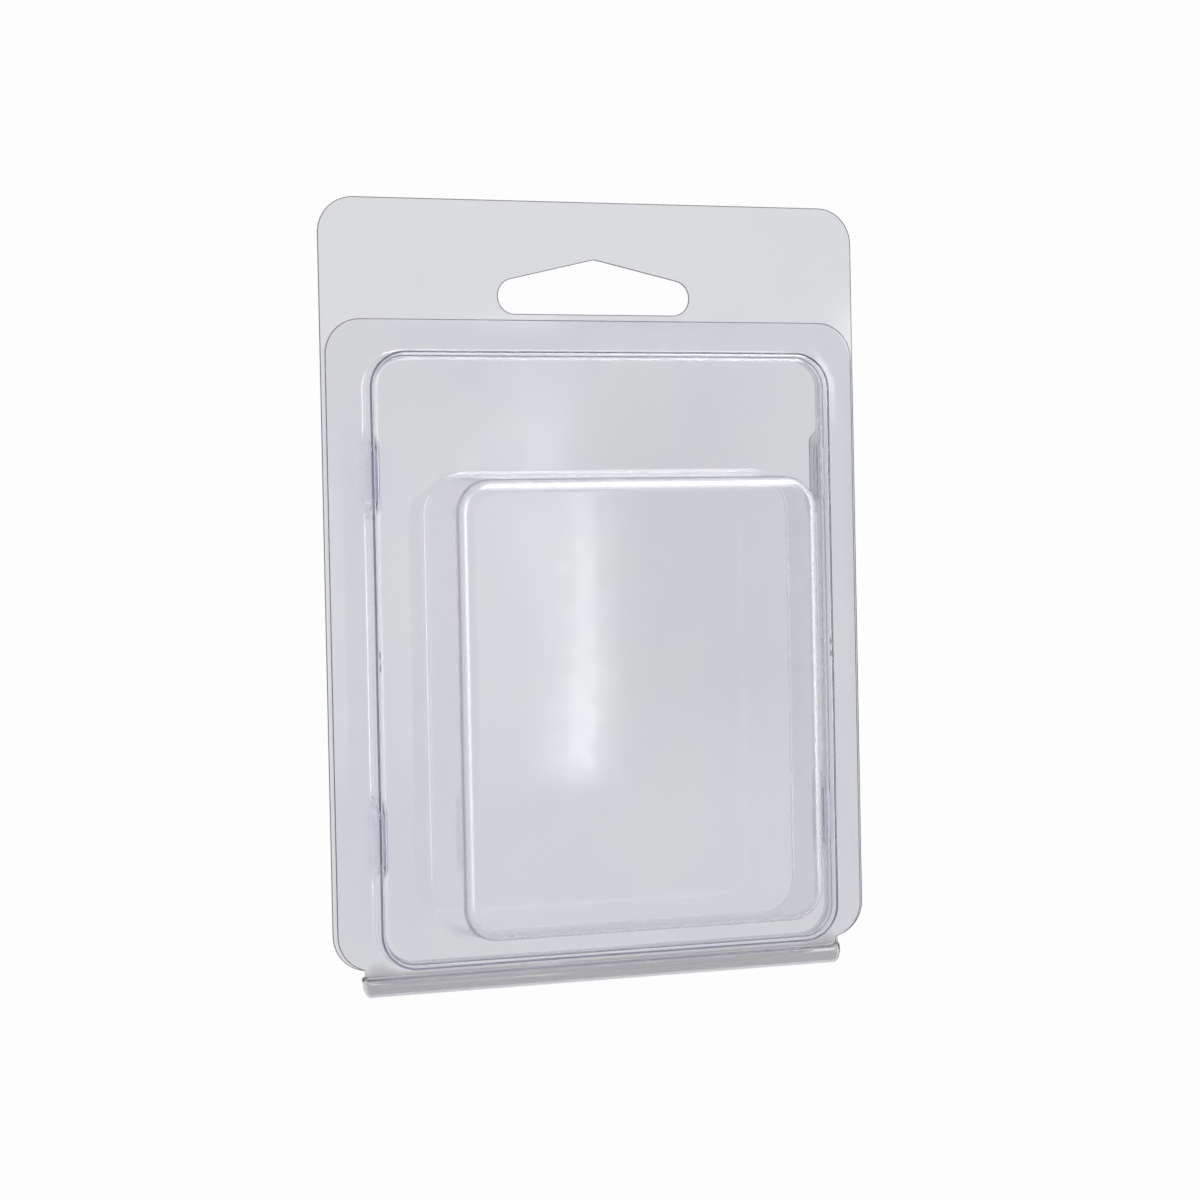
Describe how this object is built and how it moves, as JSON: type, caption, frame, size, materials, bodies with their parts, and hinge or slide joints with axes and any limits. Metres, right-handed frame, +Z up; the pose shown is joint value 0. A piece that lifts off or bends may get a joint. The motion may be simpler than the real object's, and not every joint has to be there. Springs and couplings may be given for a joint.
{
  "type": "plastic clamshell pack",
  "caption": "Clear thermoformed clamshell pack: a back sheet with hang tab and raised plug, and a hinged front sheet with snap locks and a deep product blister.",
  "frame": {"origin": "peak of the hang hole, on the front face of the back sheet, where a peg carries the pack", "axes": "+Z up along the hanging pack, -Y the way the blister faces, +X along the hinge"},
  "size_m": [0.0888, 0.0225, 0.123],
  "materials": {
    "clear_sheet": "clear, glossy, faintly blue"
  },
  "bodies": {
    "back": {"back_half": "clear_sheet"},
    "cover": {"front_half": "clear_sheet"}
  },
  "joints": [
    {"name": "cover_hinge", "type": "hinge", "parent": "back", "child": "cover", "pos_m": [0, -0.00015, -0.1124], "axis": [1, 0, 0], "range_deg": [0, 180]}
  ]
}
